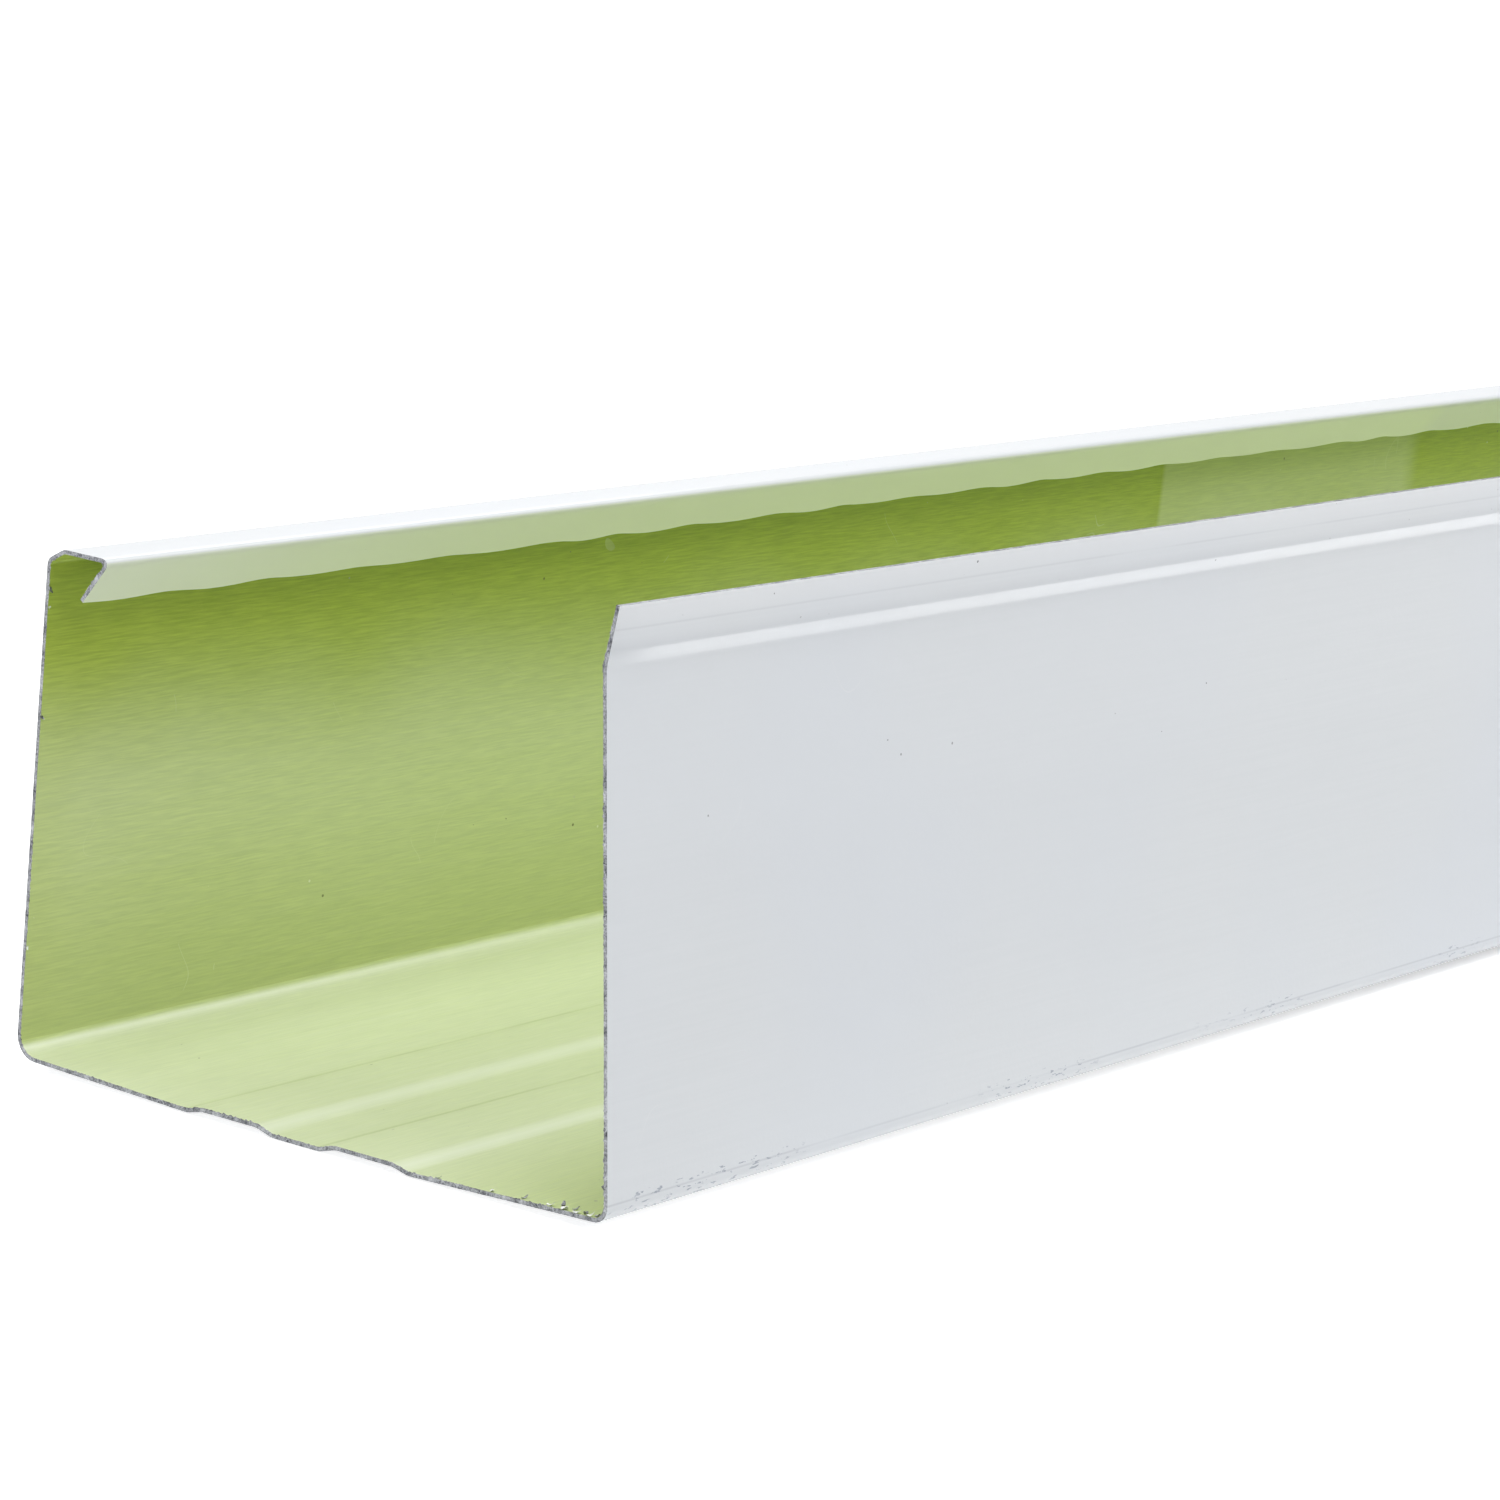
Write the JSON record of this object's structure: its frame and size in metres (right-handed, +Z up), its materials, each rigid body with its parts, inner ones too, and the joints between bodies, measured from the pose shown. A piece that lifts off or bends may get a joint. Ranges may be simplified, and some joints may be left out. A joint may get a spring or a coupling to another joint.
{
  "type": "box gutter section",
  "caption": "Roll-formed rectangular rain gutter length with a ribbed floor, a hooked front lip and a taller joggled back wall.",
  "frame": {"origin": "middle of the trough's width and of the length, on the level the gutter stands on", "axes": "+Z up, +Y along the gutter's length, +X from the lipped front wall to the taller back wall"},
  "size_m": [0.1515, 2, 0.1106],
  "materials": {
    "white_coat": "semi-gloss white coil coating on the outside",
    "green_coat": "semi-gloss leaf-green coil coating on the inside",
    "cut_edge": "bare sawn edge of the sheet"
  },
  "bodies": {
    "root": {"gutter_channel": "white_coat"}
  },
  "joints": []
}
